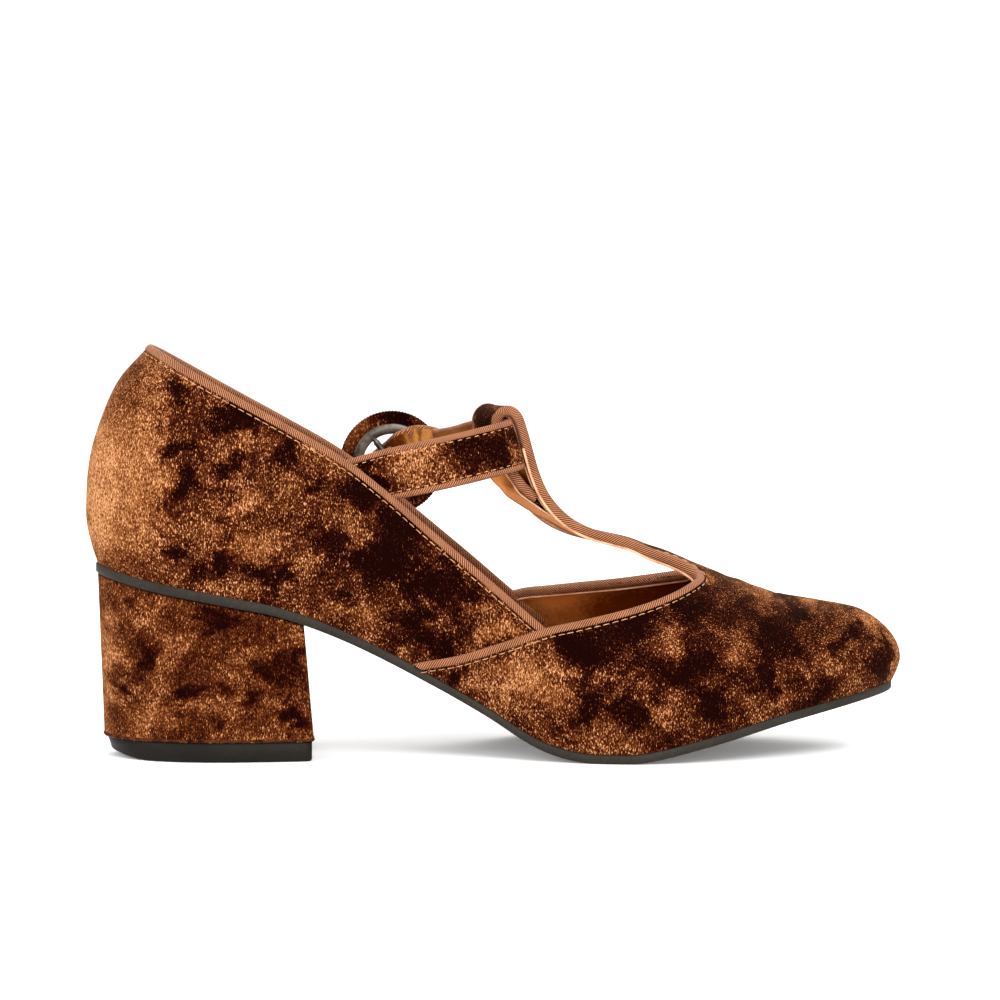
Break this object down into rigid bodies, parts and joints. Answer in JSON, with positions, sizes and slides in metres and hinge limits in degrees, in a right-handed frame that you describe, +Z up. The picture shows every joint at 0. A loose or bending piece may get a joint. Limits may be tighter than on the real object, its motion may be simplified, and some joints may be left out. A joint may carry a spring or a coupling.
{
  "type": "t-strap shoe",
  "caption": "Left T-strap pump in crushed velvet with ribbed binding, a covered block heel, a folded T-bar loop and a buckled ankle strap.",
  "frame": {"origin": "on the floor under the middle of the heel, at the centre of the top lift's flat face", "axes": "+X along the shoe to the toe, +Y to the outer side of the foot, +Z up"},
  "size_m": [0.2468, 0.0807, 0.1232],
  "materials": {
    "velvet": "crushed copper brown velvet with ribbed binding, metallic lining inside",
    "sole": "dark grey brown, matt",
    "sock": "gold bronze metallic lining",
    "heel_velvet": "crushed copper brown velvet",
    "lift": "black, satin",
    "strap_velvet": "crushed copper brown velvet with ribbed binding",
    "tab_velvet": "crushed copper brown velvet with ribbed binding",
    "ring_velvet": "dark brown velvet stretched over the ring",
    "gunmetal": "satin gunmetal",
    "gunmetal_prong": "satin gunmetal"
  },
  "bodies": {
    "root": {"upper": "velvet", "outsole": "sole", "insole": "sock", "heel_block": "heel_velvet", "top_lift": "lift", "ankle_strap": "strap_velvet", "buckle_tab": "tab_velvet", "buckle_ring": "ring_velvet", "buckle_frame": "gunmetal", "buckle_prong": "gunmetal_prong"}
  },
  "joints": []
}
